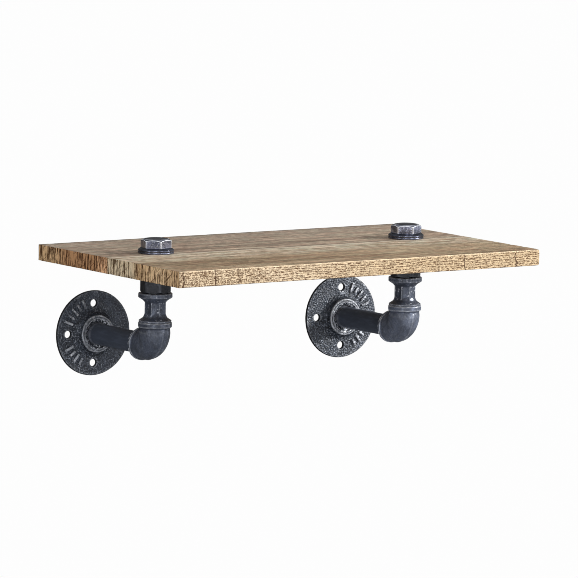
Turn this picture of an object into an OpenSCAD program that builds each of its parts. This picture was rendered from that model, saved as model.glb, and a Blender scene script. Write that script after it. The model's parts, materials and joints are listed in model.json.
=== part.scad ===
// Wall shelf: two edge-glued planks clamped on two threaded pipe brackets.
// Origin: wall plane, midway between the two brackets, at the height of the horizontal pipes.
// +X runs along the shelf, +Y points into the wall, +Z is up.

/* [Shelf board] */
// Length of the shelf along the wall
board_length = 400; // [360:10:900]
// Depth of the shelf from the wall to its front edge
board_depth = 240; // [240:5:300]
// Thickness of both planks
board_thickness = 15; // [12:1:20]

/* [Brackets] */
// Distance between the two brackets, centre to centre
bracket_spacing = 280; // [200:10:300]
// Distance from the wall to the upright axis of each bracket
upright_from_wall = 108; // [90:1:110]
// Outside diameter of the pipes and of every pipe thread
pipe_d = 20; // [18:0.5:21]
// Inside diameter of the horizontal pipe
pipe_bore_d = 15; // [12:0.5:16]

/* [Floor flange] */
// Diameter of the wall plate
flange_d = 80; // [76:1:90]
// Thickness of the wall plate
flange_plate = 3; // [2.5:0.5:5]
// Height of the threaded hub above the plate
hub_height = 8; // [8:1:14]
// Diameter of the threaded hub
hub_d = 35; // [32:1:36]
// Diameter of the circle through the screw holes
bolt_circle_d = 56; // [54:1:60]
// Diameter of the screw holes
bolt_hole_d = 7; // [4:0.5:8]
// Number of screw holes in each plate
bolt_count = 4; // [3:1:6]

/* [Elbow] */
// Distance from the centre of the elbow to either end
elbow_reach = 22.5; // [22:0.5:28]
// Diameter of the elbow's body
elbow_d = 28.8; // [26:0.2:29]
// Diameter of the band round the upper mouth
elbow_band_d = 31.2; // [30:0.2:34]
// Diameter of the band round the rear mouth
elbow_rear_band_d = 31; // [30:0.2:32]
// Length of the upper band along its mouth
elbow_band = 4.5; // [3:0.5:6]
// Length of the rear band along its mouth
elbow_rear_band = 3; // [2:0.5:6]

/* [Adapter] */
// Length of the adapter between the elbow and the bushing
adapter_length = 27; // [26:1:40]
// Width across the flats of the adapter's neck
neck_flats = 19.2; // [18:0.2:20]
// Diameter of the band round the adapter's upper mouth
adapter_band_d = 31.6; // [30:0.2:34]
// Length of that band
adapter_band = 4.2; // [3:0.2:5]

/* [Bushing, washer and plug] */
// Width across the flats of both hexagons
hex_flats = 25.5; // [23:0.5:27]
// Diameter of the collars that press on the board
collar_d = 33.5; // [32:0.5:38]
// Length of the bushing between the adapter and the board
bushing_length = 21.5; // [17:0.5:24]
// Thickness of the bushing's collar
bushing_collar = 4; // [3:0.5:5]
// Thickness of the washer
washer_thickness = 1.8; // [1.5:0.1:3]
// Height of the plug's collar, which slopes up from its rim to the hexagon
plug_collar = 3.2; // [2.6:0.1:4]
// Thickness of that collar's rim
plug_rim = 1.6; // [1.2:0.1:2]
// Height of the plug's hexagon
plug_hex = 9; // [8:0.5:14]
// Diameter of the plug's threaded shank
shank_d = 16; // [14:0.5:17]
// Angle to which the left hexagons are tightened
left_hex_turn = 16; // [0:1:59]
// Angle to which the right hexagons are tightened
right_hex_turn = 22; // [0:1:59]

/* [Hidden] */
$fn = 96;

// Running clearance of every thread, on the radius
thread_gap = 0.05;
thread_r = pipe_d / 2;
socket_r = thread_r + thread_gap;
shank_r = shank_d / 2;
shank_socket_r = shank_r + thread_gap;
through_r = 6;
cut = 1;

// Heights along the upright, from the pipe axis up
adapter_z = elbow_reach;
bushing_z = adapter_z + adapter_length;
board_z = bushing_z + bushing_length;
board_top_z = board_z + board_thickness;
plug_z = board_top_z + washer_thickness;

// Board
plank_depth = board_depth / 2;
clamp_hole_r = shank_r + 1;

// Floor flange
hub_r = hub_d / 2;
hub_fillet = 6.5;
flange_height = flange_plate + hub_height;
mouth_depth = 2.6;
mouth_r = hub_r - 3.3;
flange_bevel = 0.8;

// Nipple, from inside the hub to inside the elbow
nipple_start = 2;
nipple_end = upright_from_wall - elbow_reach + 9;
nipple_bevel = 0.8;

// Elbow
elbow_r = elbow_d / 2;
bend_r = elbow_r + 0.3;
passage_r = 8;
elbow_socket = 10;
band_bevel = 0.7;

// Adapter
neck_r = neck_flats / 2;
foot_r = elbow_band_d / 2 - 0.4;
foot_rim = 1.2;
spigot_length = 9.5;
adapter_socket = 6.3;
adapter_band_r = adapter_band_d / 2;
shoulder_r = 12;
neck_top = adapter_length - adapter_band - 4.8;
shoulder_z = adapter_length - adapter_band - 2.3;

// Bushing, washer and plug
collar_r = collar_d / 2;
hex_corner_r = hex_flats / sqrt(3);
bushing_spigot = 6;
bushing_floor = 8;
collar_bevel = 0.5;
washer_hole_r = shank_r + 0.3;
shank_length = plug_z - bushing_z - bushing_floor - 0.5;
shank_bevel = 1.2;
hex_bevel = 1.6;
hex_top_r = hex_flats / 2 - 0.7;

// Solid disc whose upper and lower edges are bevelled
module bevelled_disc(r, h, bevel) {
  rotate_extrude()
    polygon([
      [0, 0], [r - bevel, 0], [r, bevel],
      [r, h - bevel], [r - bevel, h], [0, h]
    ]);
}

// Hexagonal prism with its corners turned off at both ends
module hexagon(h, bottom_bevel, top_bevel) {
  intersection() {
    cylinder(h = h, r = hex_corner_r, $fn = 6);
    rotate_extrude()
      polygon([
        [0, 0], [hex_top_r, 0], [hex_corner_r, bottom_bevel],
        [hex_corner_r, h - top_bevel], [hex_top_r, h], [0, h]
      ]);
  }
}

// Cylinder along the upright or a pipe, with a bevelled tip at its lower end
module threaded_end(r, length, bevel) {
  rotate_extrude()
    polygon([
      [0, 0], [r, 0], [r, -length + bevel],
      [r - bevel, -length], [0, -length]
    ]);
}

module bore(r, from, to) {
  translate([0, 0, from])
    cylinder(h = to - from, r = r);
}

// One plank, from its rear edge forwards, drilled for the plugs' shanks
module plank(rear_edge) {
  difference() {
    translate([-board_length / 2, -rear_edge - plank_depth, board_z])
      cube([board_length, plank_depth, board_thickness]);
    for (side = [-1, 1])
      translate([side * bracket_spacing / 2, -upright_from_wall, 0])
        bore(clamp_hole_r, board_z - cut, board_top_z + cut);
  }
}

// Round wall plate with a threaded hub, its axis along -Y
module floor_flange() {
  rotate([90, 0, 0])
    difference() {
      union() {
        rotate_extrude()
          polygon([
            [0, 0], [flange_d / 2, 0], [flange_d / 2, flange_plate - flange_bevel],
            [flange_d / 2 - flange_bevel, flange_plate], [0, flange_plate]
          ]);
        bevelled_disc(hub_r, flange_height, flange_bevel);
        rotate_extrude()
          difference() {
            translate([hub_r - cut, flange_plate - cut])
              square(hub_fillet + cut);
            translate([hub_r + hub_fillet, flange_plate + hub_fillet])
              circle(hub_fillet);
          }
      }
      bore(socket_r, -cut, flange_height + cut);
      translate([0, 0, flange_height - mouth_depth])
        cylinder(h = mouth_depth, r1 = socket_r, r2 = mouth_r);
      for (i = [0 : bolt_count - 1])
        rotate(i * 360 / bolt_count)
          translate([bolt_circle_d / 2, 0, 0])
            bore(bolt_hole_d / 2, -cut, flange_plate + cut);
    }
}

// Short pipe between the flange and the elbow
module nipple() {
  rotate([90, 0, 0])
    difference() {
      translate([0, 0, nipple_start])
        bevelled_disc(thread_r, nipple_end - nipple_start, nipple_bevel);
      bore(pipe_bore_d / 2, nipple_start - cut, nipple_end + cut);
    }
}

// Quarter ring that joins the elbow's two arms
module bend(r) {
  translate([0, bend_r, bend_r])
    rotate([-90, 0, -90])
      rotate_extrude(angle = 90)
        translate([bend_r, 0])
          circle(r);
}

// Elbow: one mouth up, the other back to the wall, centred on the crossing of their axes
module elbow() {
  rear = [-90, 0, 0];
  difference() {
    union() {
      bend(elbow_r);
      bore(elbow_r, bend_r, elbow_reach - elbow_band / 2);
      rotate(rear)
        bore(elbow_r, bend_r, elbow_reach - elbow_rear_band / 2);
      translate([0, 0, elbow_reach - elbow_band])
        bevelled_disc(elbow_band_d / 2, elbow_band, band_bevel);
      rotate(rear)
        translate([0, 0, elbow_reach - elbow_rear_band])
          bevelled_disc(elbow_rear_band_d / 2, elbow_rear_band, band_bevel);
    }
    bend(passage_r);
    bore(socket_r, elbow_reach - elbow_socket, elbow_reach + cut);
    rotate(rear)
      bore(socket_r, elbow_reach - elbow_socket, elbow_reach + cut);
  }
}

// Adapter: threaded spigot below, eight-sided neck, banded mouth above
module adapter() {
  flare = foot_r - neck_r;
  difference() {
    union() {
      rotate_extrude()
        difference() {
          square([foot_r, foot_rim + flare]);
          translate([foot_r, foot_rim + flare])
            circle(flare);
        }
      cylinder(h = shoulder_z, r = neck_r / cos(22.5), $fn = 8);
      rotate_extrude()
        polygon([
          [0, neck_top], [neck_r, neck_top], [shoulder_r, shoulder_z],
          [adapter_band_r, adapter_length - adapter_band],
          [adapter_band_r, adapter_length - band_bevel],
          [adapter_band_r - band_bevel, adapter_length], [0, adapter_length]
        ]);
      threaded_end(thread_r, spigot_length, shank_bevel);
    }
    bore(through_r, -spigot_length - cut, adapter_length);
    bore(socket_r, adapter_length - adapter_socket, adapter_length + cut);
  }
}

// Bushing: threaded spigot below, hexagon, collar under the board
module bushing() {
  difference() {
    union() {
      hexagon(bushing_length - bushing_collar, hex_bevel, 0);
      translate([0, 0, bushing_length - bushing_collar])
        bevelled_disc(collar_r, bushing_collar, collar_bevel);
      threaded_end(thread_r, bushing_spigot, shank_bevel);
    }
    bore(through_r, -bushing_spigot - cut, bushing_length);
    bore(shank_socket_r, bushing_floor, bushing_length + cut);
  }
}

module washer() {
  difference() {
    bevelled_disc(collar_r, washer_thickness, collar_bevel);
    bore(washer_hole_r, -cut, washer_thickness + cut);
  }
}

// Plug: hexagon on a sloping collar, with the shank that clamps the board
module plug() {
  rotate_extrude()
    polygon([
      [0, 0], [collar_r - collar_bevel, 0], [collar_r, collar_bevel],
      [collar_r, plug_rim], [hex_corner_r, plug_collar], [0, plug_collar]
    ]);
  translate([0, 0, plug_collar])
    hexagon(plug_hex, 0, hex_bevel);
  threaded_end(shank_r, shank_length, shank_bevel);
}

// Puts a piece on the left (-1) or right (1) bracket's flange axis
module on_wall(side) {
  translate([side * bracket_spacing / 2, 0, 0])
    children();
}

// Puts a piece on the left (-1) or right (1) bracket's upright, z above the pipe axis
module on_upright(side, z, turn = 0) {
  translate([side * bracket_spacing / 2, -upright_from_wall, z])
    rotate(turn)
      children();
}

module rear_plank() { color("rosybrown") plank(0); }
module front_plank() { color("burlywood") plank(plank_depth); }

module left_floor_flange() { color("slategray") on_wall(-1) floor_flange(); }
module left_nipple() { color("dimgray") on_wall(-1) nipple(); }
module left_elbow() { color("darkslategray") on_upright(-1, 0) elbow(); }
module left_adapter() { color("dimgray") on_upright(-1, adapter_z, left_hex_turn) adapter(); }
module left_bushing() { color("darkslategray") on_upright(-1, bushing_z, left_hex_turn) bushing(); }
module left_washer() { color("silver") on_upright(-1, board_top_z) washer(); }
module left_plug() { color("lightslategray") on_upright(-1, plug_z, left_hex_turn) plug(); }

module right_floor_flange() { color("slategray") on_wall(1) floor_flange(); }
module right_nipple() { color("dimgray") on_wall(1) nipple(); }
module right_elbow() { color("darkslategray") on_upright(1, 0) elbow(); }
module right_adapter() { color("dimgray") on_upright(1, adapter_z, right_hex_turn) adapter(); }
module right_bushing() { color("darkslategray") on_upright(1, bushing_z, right_hex_turn) bushing(); }
module right_washer() { color("silver") on_upright(1, board_top_z) washer(); }
module right_plug() { color("lightslategray") on_upright(1, plug_z, right_hex_turn) plug(); }

rear_plank();
front_plank();
left_floor_flange();
left_nipple();
left_elbow();
left_adapter();
left_bushing();
left_washer();
left_plug();
right_floor_flange();
right_nipple();
right_elbow();
right_adapter();
right_bushing();
right_washer();
right_plug();
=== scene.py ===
import json
import math

import bmesh
import bpy
import numpy as np
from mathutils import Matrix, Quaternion, Vector, noise


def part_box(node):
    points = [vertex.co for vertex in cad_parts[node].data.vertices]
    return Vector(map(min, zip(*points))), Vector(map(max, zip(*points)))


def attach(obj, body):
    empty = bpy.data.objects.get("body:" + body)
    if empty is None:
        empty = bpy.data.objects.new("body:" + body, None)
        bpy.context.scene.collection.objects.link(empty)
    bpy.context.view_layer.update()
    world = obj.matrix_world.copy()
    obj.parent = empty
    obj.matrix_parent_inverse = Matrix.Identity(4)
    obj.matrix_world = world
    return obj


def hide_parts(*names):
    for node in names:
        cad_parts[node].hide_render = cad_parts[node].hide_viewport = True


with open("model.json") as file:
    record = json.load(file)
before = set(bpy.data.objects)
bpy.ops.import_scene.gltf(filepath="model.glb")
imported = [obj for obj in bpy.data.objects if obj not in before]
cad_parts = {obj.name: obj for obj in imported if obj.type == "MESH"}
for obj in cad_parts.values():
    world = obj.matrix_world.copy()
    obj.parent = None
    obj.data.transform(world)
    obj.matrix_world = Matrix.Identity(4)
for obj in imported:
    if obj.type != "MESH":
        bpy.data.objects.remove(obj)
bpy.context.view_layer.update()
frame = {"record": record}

MM = 0.001
SIDES = ("left", "right")
TURN = 2 * math.pi

# The view: where the camera aims, from how far and from which side
AIM = Vector((-0.007, -0.130, 0.048))
VIEW_DISTANCE = 5.56
VIEW_AZIMUTH = math.radians(-34.1)
VIEW_ELEVATION = math.radians(6.9)
VIEW_ROLL = math.radians(0.95)
SENSOR = 36.0
LENS = 373.7

# Angles to which the hexagons are tightened, and the way the adapters' flats face
HEX_TURN = {"left": math.radians(16), "right": math.radians(22)}
NECK_TURN = math.radians(37)

# Pitch of the pipe threads and of the plugs' thread, in millimetres
PIPE_PITCH = 1.814
PLUG_PITCH = 2.0

# The floor, and the strength of the room's light from all round, overhead, ahead and the right
FLOOR_REACH = 60.0
FLOOR_HEIGHT = -1.2
STUDIO_WHITE = (0.985, 0.985, 0.985, 1.0)
AMBIENT = 0.13
OVERHEAD = 0.42
AHEAD = 1.05
SOFT_BOX_AHEAD = (-0.25, -0.93, 0.27)
FROM_RIGHT = 0.15

# The one lamp, measured from the shelf's middle
SHELF_MIDDLE = Vector((0, -0.1, 0.04))
KEY_DIRECTION = Vector((0.76, -0.545, 0.342))
KEY_DISTANCE = 3.0
KEY_SIZE = 0.6
KEY_POWER = 92.0
KEY_COLOUR = (1.0, 0.985, 0.96)

# What reflections see: the same room dimmed, with bright panels in it.
# Each panel has a direction, its outer and inner half-angles in degrees, and a strength.
MIRRORED_ROOM = 0.62
PANELS = (
    ((0.62, -0.74, 0.25), 16, 12, 2.5),
    ((-0.67, -0.74, -0.12), 9, 6, 3.4),
    ((0.98, -0.14, -0.12), 9, 6, 1.4),
    ((0.31, -0.95, -0.10), 9, 6, 3.0),
    ((-0.93, -0.25, 0.10), 12, 8, 3.0),
    ((0.20, -0.60, 0.77), 12, 8, 8.0),
    ((-0.36, -0.53, 0.77), 9, 6, 7.6),
)


def centre(node):
    low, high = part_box(node)
    return (low + high) / 2


def place_camera():
    back = Vector((
        math.sin(VIEW_AZIMUTH) * math.cos(VIEW_ELEVATION),
        -math.cos(VIEW_AZIMUTH) * math.cos(VIEW_ELEVATION),
        math.sin(VIEW_ELEVATION),
    ))
    data = bpy.data.cameras.new("camera")
    data.sensor_width = SENSOR
    data.lens = LENS
    data.clip_start = 0.1
    data.clip_end = 200.0
    camera = add_object("camera", data)
    camera.rotation_mode = "QUATERNION"
    camera.location = AIM + back * VIEW_DISTANCE
    level = (-back).to_track_quat("-Z", "Y")
    camera.rotation_quaternion = level @ Quaternion((0, 0, 1), VIEW_ROLL)
    bpy.context.scene.camera = camera


def add_object(name, data):
    """A new object in the scene."""
    thing = bpy.data.objects.new(name, data)
    bpy.context.scene.collection.objects.link(thing)
    return thing


# ---------------------------------------------------------------- shader nodes

def scaled_colour(colour, factor):
    return [min(1.0, part * factor) for part in colour[:3]] + [1.0]


def srgb(red, green, blue):
    """A colour given as 0-255 display values, as the linear RGBA that shaders take."""
    def linear(value):
        value /= 255
        return value / 12.92 if value <= 0.04045 else ((value + 0.055) / 1.055) ** 2.4
    return (linear(red), linear(green), linear(blue), 1.0)


class Nodes:
    """A node tree and short calls for the nodes that it is made of."""

    def __init__(self, owner, output):
        owner.use_nodes = True
        self.tree = owner.node_tree
        self.tree.nodes.clear()
        self.output = self.tree.nodes.new("ShaderNodeOutput" + output)

    def add(self, kind, inputs=None, **settings):
        node = self.tree.nodes.new("ShaderNode" + kind)
        for key, value in settings.items():
            setattr(node, key, value)
        for key, value in (inputs or {}).items():
            self.feed(node.inputs[key], value)
        return node

    def feed(self, socket, value):
        if isinstance(value, bpy.types.NodeSocket):
            self.tree.links.new(value, socket)
        else:
            socket.default_value = value

    def ramp(self, value, stops):
        node = self.add("ValToRGB", {0: value})
        elements = node.color_ramp.elements
        while len(elements) < len(stops):
            elements.new(0.5)
        for element, (position, colour) in zip(elements, stops):
            element.position = position
            element.color = colour
        return node.outputs[0]

    def total(self, *parts):
        """Sum of weight x value over the parts."""
        result = 0.0
        for weight, value in parts:
            result = self.add("Math", {0: value, 1: weight, 2: result}, operation="MULTIPLY_ADD").outputs[0]
        return result

    def math(self, operation, first, second=0.0, clamp=False):
        return self.add("Math", {0: first, 1: second}, operation=operation, use_clamp=clamp).outputs[0]

    def times(self, first, second, clamp=False):
        return self.math("MULTIPLY", first, second, clamp)

    def between(self, value, low, high, to_low=0.0, to_high=1.0):
        node = self.add("MapRange", {0: value, 1: low, 2: high, 3: to_low, 4: to_high})
        node.interpolation_type = "SMOOTHSTEP"
        return node.outputs[0]

    def mix(self, factor, first, second, blend="MIX"):
        node = self.add("Mix", {0: factor, 6: first, 7: second}, data_type="RGBA", blend_type=blend)
        return node.outputs[2]

    def tinted(self, colour, red, green, blue):
        """The colour, multiplied channel by channel."""
        return self.mix(1.0, colour, (red, green, blue, 1.0), "MULTIPLY")

    def bump(self, height, distance, strength=1.0):
        return self.add("Bump", {"Height": height, "Distance": distance, "Strength": strength}).outputs[0]

    def split(self, vector):
        return self.add("SeparateXYZ", {0: vector}).outputs

    def show(self, surface):
        self.feed(self.output.inputs["Surface"], surface)

    def attribute(self, name):
        return self.add("Attribute", attribute_name=name).outputs["Fac"]


class Shader(Nodes):
    """One material with a Principled surface."""

    def __init__(self, name):
        self.material = bpy.data.materials.new(name)
        super().__init__(self.material, "Material")
        self.surface = self.add("BsdfPrincipled")
        self.show(self.surface.outputs[0])
        self.where = self.add("TexCoord").outputs["Object"]

    def noise(self, scale, detail=4.0, roughness=0.55, at=None):
        """Noise at object coordinates or at others. Its scale is one number, or three that stretch it."""
        scale = scale if isinstance(scale, tuple) else (scale, scale, scale)
        vector = self.where if at is None else at
        stretched = self.add("VectorMath", {0: vector, 1: scale}, operation="MULTIPLY").outputs[0]
        inputs = {"Vector": stretched, "Scale": 1.0, "Detail": detail, "Roughness": roughness}
        return self.add("TexNoise", inputs).outputs[0]

    def cells(self, scale):
        node = self.add("TexVoronoi", {"Vector": self.where, "Scale": scale}, feature="SMOOTH_F1")
        return node.outputs["Distance"]

    def set(self, **values):
        """Sets the surface's inputs, named with _ for spaces: numbers on the socket itself, or linked."""
        for key, value in values.items():
            self.feed(self.surface.inputs[key.replace("_", " ")], value)


# ---------------------------------------------------------------- wood

def wavering(shader, reach):
    """Object coordinates whose grain wanders sideways by up to reach as it runs along X."""
    drift = shader.noise((5.0, 22.0, 22.0), 3.0)
    push = shader.total((2 * reach, drift), (-reach, 1.0))
    offset = shader.add("CombineXYZ", {1: push}).outputs[0]
    return shader.add("VectorMath", {0: shader.where, 1: offset}, operation="ADD").outputs[0]


def face_grain(name, dark, middle, light, tint, tint_from, tint_to, grime_and_shade_at):
    """Broad face of a plank: bands and streaks along X, fine fibres, pores, and a weathered tint.

    The tint grows from tint_from to tint_to across the plank, and the last argument places a darker rim:
    painted shade, the shadow line under the arris, along the front plank's front border, and a darker seam on
    the rear plank."""
    shader = Shader(name)
    grain = wavering(shader, 6 * MM)
    bands = shader.noise((4.0, 60.0, 12.0), 4.0, 0.55, grain)
    streaks = shader.noise((16.0, 190.0, 60.0), 5.0, 0.62, grain)
    fine = shader.noise((34.0, 640.0, 200.0), 4.0, 0.65, grain)
    fibres = shader.noise((90.0, 2600.0, 500.0), 3.0, 0.7, grain)
    blotches = shader.noise((24.0, 60.0, 60.0), 4.0, 0.6)
    mottle = shader.noise((210.0, 130.0, 210.0), 3.0, 0.6)
    tone = shader.total((0.34, bands), (0.34, streaks), (0.20, fine), (0.12, mottle))
    across = shader.split(grain)[1]
    drifted = shader.total((1.0, across), (0.05, blotches), (-0.025, 1.0))
    wash = shader.between(drifted, tint_from, tint_to)
    wash = shader.times(wash, shader.between(streaks, 0.30, 0.60, 0.55, 1.0))
    colour = shader.ramp(tone, [(0.41, dark), (0.50, middle), (0.59, light)])
    washed = shader.ramp(tone, [(0.41, middle), (0.50, tint), (0.59, scaled_colour(tint, 1.16))])
    colour = shader.mix(wash, colour, washed)
    lines = shader.noise((22.0, 330.0, 90.0), 3.0, 0.5, grain)
    colour = shader.mix(shader.between(lines, 0.36, 0.27, 0.0, 0.75), colour, scaled_colour(dark, 0.55))
    pores = shader.noise((150.0, 1500.0, 400.0), 2.0, 0.5, grain)
    grime_and_shade = scaled_colour(dark, 0.5)
    colour = shader.mix(shader.between(pores, 0.62, 0.72, 0.0, 0.7), colour, grime_and_shade)
    speckle = shader.noise((150.0, 260.0, 260.0), 3.0, 0.65, grain)
    colour = shader.mix(shader.between(speckle, 0.40, 0.60), shader.tinted(colour, 0.78, 0.77, 0.77),
                        shader.tinted(colour, 1.18, 1.18, 1.17))
    warmth = shader.noise((40.0, 170.0, 170.0), 3.0, 0.65, grain)
    colour = shader.mix(shader.between(warmth, 0.40, 0.60), shader.tinted(colour, 0.96, 1.02, 1.00),
                        shader.tinted(colour, 1.06, 0.98, 0.96))
    y = shader.split(shader.where)[1]
    ragged = shader.total((1.0, y), (4 * MM, mottle))
    # Darker along the rear border
    back = shader.between(ragged, -5 * MM, -1 * MM)
    colour = shader.mix(shader.times(back, 0.6), colour, grime_and_shade)
    pale = shader.between(y, SEAM - 6 * MM, SEAM - 3 * MM)
    pale = shader.times(pale, shader.math("LESS_THAN", y, SEAM))
    colour = shader.mix(shader.times(pale, 0.45), colour, srgb(206, 196, 178))
    # Painted shade: a dark line along the front plank's front border, the shadow under its arris; on the rear
    # plank the same darkening runs along the seam
    rim = shader.between(ragged, grime_and_shade_at + 7 * MM, grime_and_shade_at + 1.5 * MM)
    colour = shader.mix(shader.times(rim, 0.5), colour, grime_and_shade)
    height = shader.total((0.45, streaks), (0.3, fine), (0.25, fibres))
    shader.set(Base_Color=colour, Roughness=shader.between(streaks, 0.3, 0.7, 0.80, 0.60),
               Specular_IOR_Level=0.25, Normal=shader.bump(height, 1.0 * MM, 0.6))
    return shader.material


def end_grain(name, zones, seed):
    """Sawn end: upright growth lines and slanting saw marks, in bands of colour across the plank.

    zones are (y, colour) from the front backwards. The right end is painted darker, as painted shade against
    the key light that falls full on it."""
    shader = Shader(name)
    x, y, z = shader.split(shader.where)
    drift = shader.noise(60.0, 3.0)
    lean = shader.total((1.0, y), (3 * MM, drift), (seed, 1.0))
    lined = shader.add("CombineXYZ", {0: x, 1: lean, 2: z}).outputs[0]
    rings = shader.noise((10.0, 430.0, 55.0), 2.0, 0.5, lined)
    hairs = shader.noise((30.0, 780.0, 150.0), 2.0, 0.6, lined)
    speck = shader.noise((420.0, 420.0, 560.0), 2.0, 0.6)
    low, high = zones[0][0], zones[-1][0]
    place = shader.total((1.0, y), (6 * MM, drift), (-3 * MM, 1.0))
    place = shader.add("MapRange", {0: place, 1: low, 2: high, 3: 0.0, 4: 1.0}).outputs[0]
    colour = shader.ramp(place, [((at - low) / (high - low), tone) for at, tone in zones])
    lit = shader.tinted(colour, 2.15, 2.2, 2.2)
    deep = shader.tinted(colour, 0.24, 0.16, 0.10)
    tone = shader.total((0.52, rings), (0.38, hairs), (0.10, speck))
    colour = shader.mix(shader.between(tone, 0.49, 0.54), colour, lit)
    colour = shader.mix(shader.between(tone, 0.48, 0.43), colour, deep)
    tilt = shader.total((0.75, y), (1.0, z), (3 * MM, drift))
    slanted = shader.add("CombineXYZ", {0: tilt, 1: shader.total((14.0, y), (-10.0, z))}).outputs[0]
    saw = shader.noise((560.0, 3.0, 1.0), 2.0, 0.5, slanted)
    colour = shader.mix(shader.between(saw, 0.40, 0.32, 0.0, 0.85), colour, deep)
    # Painted shade: the right end darkened, as the key light falls full on it
    right_end_shade = shader.between(x, -50 * MM, 50 * MM)
    colour = shader.mix(right_end_shade, colour, shader.tinted(colour, 0.52, 0.56, 0.60))
    height = shader.total((0.6, tone), (0.2, speck), (0.2, saw))
    shader.set(Base_Color=colour, Roughness=shader.between(hairs, 0.3, 0.7, 0.9, 0.75),
               Specular_IOR_Level=0.15, Normal=shader.bump(height, 1.8 * MM, 0.8))
    return shader.material


def checks(shader, where, scale, width):
    """Thin dark lines that follow the contours of a noise, as 0 to 1."""
    level = shader.noise(scale, 2.0, 0.6, where)
    off = shader.math("ABSOLUTE", shader.total((1.0, level), (-0.5, 1.0)))
    return shader.between(off, width, width * 0.3)


def edge_grain(name, light, middle, dark):
    """Long sawn edge: pale wood with broken rows of fine dashes and checks all along it, joined by short
    upright ticks, and a few thin upright cracks right across it near both ends."""
    shader = Shader(name)
    warp = shader.noise((150.0, 150.0, 220.0), 3.0)
    x, y, z = shader.split(shader.where)
    rise = shader.total((1.0, z), (1.5 * MM, warp))
    waved = shader.add("CombineXYZ", {0: shader.total((1.0, x), (1.5 * MM, warp)), 1: y, 2: rise}).outputs[0]
    near_left = shader.between(x, LEFT + 120 * MM, LEFT + 50 * MM)
    near_right = shader.between(x, RIGHT - 150 * MM, RIGHT - 80 * MM)
    dashes = shader.noise((190.0, 190.0, 700.0), 2.0, 0.6, waved)
    flecks = shader.noise((640.0, 600.0, 760.0), 2.0, 0.5)
    broad = shader.noise((14.0, 30.0, 90.0), 4.0, 0.6, waved)
    patches = shader.noise((26.0, 26.0, 60.0), 3.0, 0.5)
    tone = shader.total((0.62, dashes), (0.24, flecks), (0.14, broad))
    colour = shader.ramp(tone, [(0.34, middle), (0.50, light), (0.65, light)])
    shade = shader.math("MAXIMUM", shader.between(patches, 0.40, 0.68, 0.0, 0.45),
                        shader.between(x, -120 * MM, 60 * MM, 0.0, 0.9))
    colour = shader.mix(shade, colour, shader.tinted(colour, 0.86, 0.82, 0.74))
    sway = shader.noise((55.0, 55.0, 110.0), 3.0, 0.6)
    rows = shader.math("SINE", shader.total((TURN / (2.1 * MM), z), (16.0, sway)))
    broken = shader.between(shader.noise((260.0, 200.0, 420.0), 2.0, 0.6, waved), 0.42, 0.52)
    rows = shader.times(shader.between(rows, 0.10, 0.60), broken)
    runs = shader.math("MAXIMUM", checks(shader, waved, (95.0, 120.0, 520.0), 0.035), rows)
    ticks = shader.times(checks(shader, waved, (400.0, 300.0, 120.0), 0.045),
                        shader.between(near_left, 0.0, 1.0, 0.35, 0.9))
    lines = shader.math("MAXIMUM", runs, ticks)
    lines = shader.times(lines, shader.between(flecks, 0.36, 0.52, 0.4, 1.0))
    colour = shader.mix(lines, colour, dark)
    along = shader.total((30.0, x), (0.30, warp), (3.0, z))
    marks = shader.add("TexVoronoi", {"W": along, "Scale": 1.0}, voronoi_dimensions="1D", feature="F1")
    strength = shader.split(marks.outputs["Color"])[0]
    where = shader.math("MAXIMUM", shader.math("MAXIMUM", near_left, near_right), 0.25)
    gash = shader.times(shader.between(marks.outputs["Distance"], 0.030, 0.010),
                       shader.between(strength, 0.10, 0.35))
    gash = shader.times(gash, where)
    colour = shader.mix(shader.times(gash, 0.9), colour, srgb(80, 54, 36))
    # Painted highlight: a pale line along the top arris, where the rounded corner catches the light
    arris_highlight = shader.between(shader.total((1.0, z), (1.0 * MM, flecks)), TOP - 0.7 * MM, TOP + 0.1 * MM)
    colour = shader.mix(shader.times(arris_highlight, 0.7), colour, scaled_colour(light, 1.2))
    height = shader.total((1.0, tone), (-0.5, lines), (-0.8, gash))
    shader.set(Base_Color=colour, Roughness=shader.between(dashes, 0.3, 0.7, 0.85, 0.66),
               Specular_IOR_Level=0.2, Normal=shader.bump(height, 1.2 * MM, 0.6))
    return shader.material


# ---------------------------------------------------------------- metal

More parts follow.
